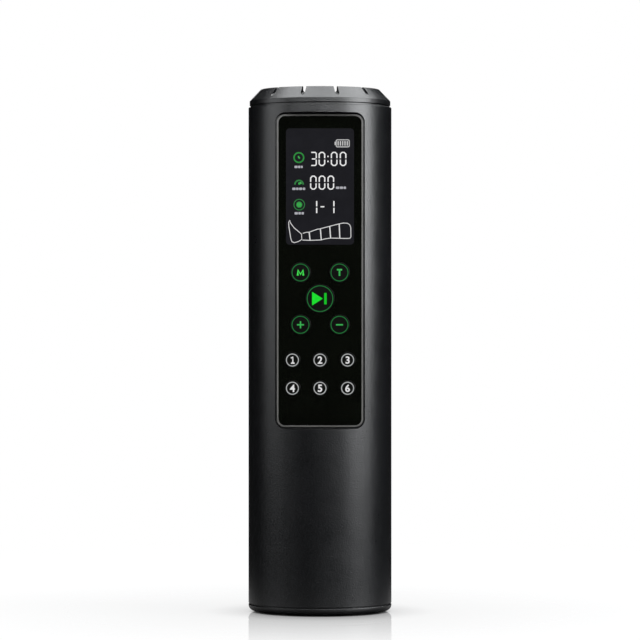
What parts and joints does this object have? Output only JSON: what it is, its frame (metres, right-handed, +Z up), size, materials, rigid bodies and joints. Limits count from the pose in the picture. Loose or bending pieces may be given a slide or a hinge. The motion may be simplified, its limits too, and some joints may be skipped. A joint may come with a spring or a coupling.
{
  "type": "air compression pump",
  "caption": "Upright cylindrical air pump for compression leg wraps, with a flat key panel, screen and two hose sockets.",
  "frame": {"origin": "on the floor under the cylinder's axis", "axes": "+Z up along the cylinder, the key panel faces -Y, +X to the viewer's right"},
  "size_m": [0.07, 0.07, 0.2553],
  "materials": {
    "case_black": "satin, slightly bluish black",
    "panel_gloss": "gloss black window",
    "bezel_grey": "dark satin frame",
    "rubber_black": "matt",
    "silicone": "translucent white",
    "frame_plastic": "moulded, matt",
    "valve_plastic": "white moulded",
    "board_green": "lacquered circuit board",
    "steel": "bright zinc",
    "nickel": "nickel plated",
    "cell_wrap": "shrink wrapped",
    "display_glass": "dark display",
    "foam": "open cell foam"
  },
  "bodies": {
    "case": {"air_tubes": "silicone", "base_cap": "case_black", "base_screws": "steel", "base_seal": "rubber_black", "battery_cells": "cell_wrap", "battery_strips": "nickel", "board_screws": "steel", "body_tube": "case_black", "buzzer": "frame_plastic", "charge_board": "board_green", "charge_port": "nickel", "charge_screws": "steel", "diaphragm": "silicone", "display_gasket": "foam", "display_holder": "frame_plastic", "display_module": "display_glass", "foot_pads": "rubber_black", "front_lens": "panel_gloss", "hose_spreader": "valve_plastic", "inner_frame": "frame_plastic", "intake_filter": "foam", "key_switches": "frame_plastic", "left_nipple_block": "frame_plastic", "lower_battery_holder": "frame_plastic", "main_board": "board_green", "motor_sleeve": "rubber_black", "panel_bezel": "bezel_grey", "pressure_sensor": "frame_plastic", "pump_crankcase": "valve_plastic", "pump_head": "valve_plastic", "pump_motor": "steel", "pump_screws": "steel", "right_nipple_block": "frame_plastic", "socket_deck": "case_black", "socket_seals": "rubber_black", "solenoid_valves": "steel", "spreader_screws": "steel", "supply_tube": "silicone", "top_cap": "case_black", "upper_battery_holder": "frame_plastic", "valve_manifold": "valve_plastic", "valve_plate": "frame_plastic", "wobble_plate": "valve_plastic"},
    "mode_key": {"mode_key": "panel_gloss"},
    "timer_key": {"timer_key": "panel_gloss"},
    "play_key": {"play_key": "panel_gloss"},
    "plus_key": {"plus_key": "panel_gloss"},
    "minus_key": {"minus_key": "panel_gloss"},
    "chamber_key_1": {"chamber_key_1": "panel_gloss"},
    "chamber_key_2": {"chamber_key_2": "panel_gloss"},
    "chamber_key_3": {"chamber_key_3": "panel_gloss"},
    "chamber_key_4": {"chamber_key_4": "panel_gloss"},
    "chamber_key_5": {"chamber_key_5": "panel_gloss"},
    "chamber_key_6": {"chamber_key_6": "panel_gloss"},
    "motor_rotor": {"motor_rotor": "steel"}
  },
  "joints": [
    {"name": "mode_key_press", "type": "slide", "parent": "case", "child": "mode_key", "axis": [0, 1, 0], "range_m": [0, 0.00045], "stiffness_N_per_m": 1000},
    {"name": "timer_key_press", "type": "slide", "parent": "case", "child": "timer_key", "axis": [0, 1, 0], "range_m": [0, 0.00045], "stiffness_N_per_m": 1000},
    {"name": "play_key_press", "type": "slide", "parent": "case", "child": "play_key", "axis": [0, 1, 0], "range_m": [0, 0.00045], "stiffness_N_per_m": 1000},
    {"name": "plus_key_press", "type": "slide", "parent": "case", "child": "plus_key", "axis": [0, 1, 0], "range_m": [0, 0.00045], "stiffness_N_per_m": 1000},
    {"name": "minus_key_press", "type": "slide", "parent": "case", "child": "minus_key", "axis": [0, 1, 0], "range_m": [0, 0.00045], "stiffness_N_per_m": 1000},
    {"name": "chamber_key_1_press", "type": "slide", "parent": "case", "child": "chamber_key_1", "axis": [0, 1, 0], "range_m": [0, 0.00045], "stiffness_N_per_m": 1000},
    {"name": "chamber_key_2_press", "type": "slide", "parent": "case", "child": "chamber_key_2", "axis": [0, 1, 0], "range_m": [0, 0.00045], "stiffness_N_per_m": 1000},
    {"name": "chamber_key_3_press", "type": "slide", "parent": "case", "child": "chamber_key_3", "axis": [0, 1, 0], "range_m": [0, 0.00045], "stiffness_N_per_m": 1000},
    {"name": "chamber_key_4_press", "type": "slide", "parent": "case", "child": "chamber_key_4", "axis": [0, 1, 0], "range_m": [0, 0.00045], "stiffness_N_per_m": 1000},
    {"name": "chamber_key_5_press", "type": "slide", "parent": "case", "child": "chamber_key_5", "axis": [0, 1, 0], "range_m": [0, 0.00045], "stiffness_N_per_m": 1000},
    {"name": "chamber_key_6_press", "type": "slide", "parent": "case", "child": "chamber_key_6", "axis": [0, 1, 0], "range_m": [0, 0.00045], "stiffness_N_per_m": 1000},
    {"name": "motor_spin", "type": "hinge", "parent": "case", "child": "motor_rotor", "pos_m": [0, 0.005, 0.1218], "axis": [0, 0, 1], "continuous": true}
  ]
}
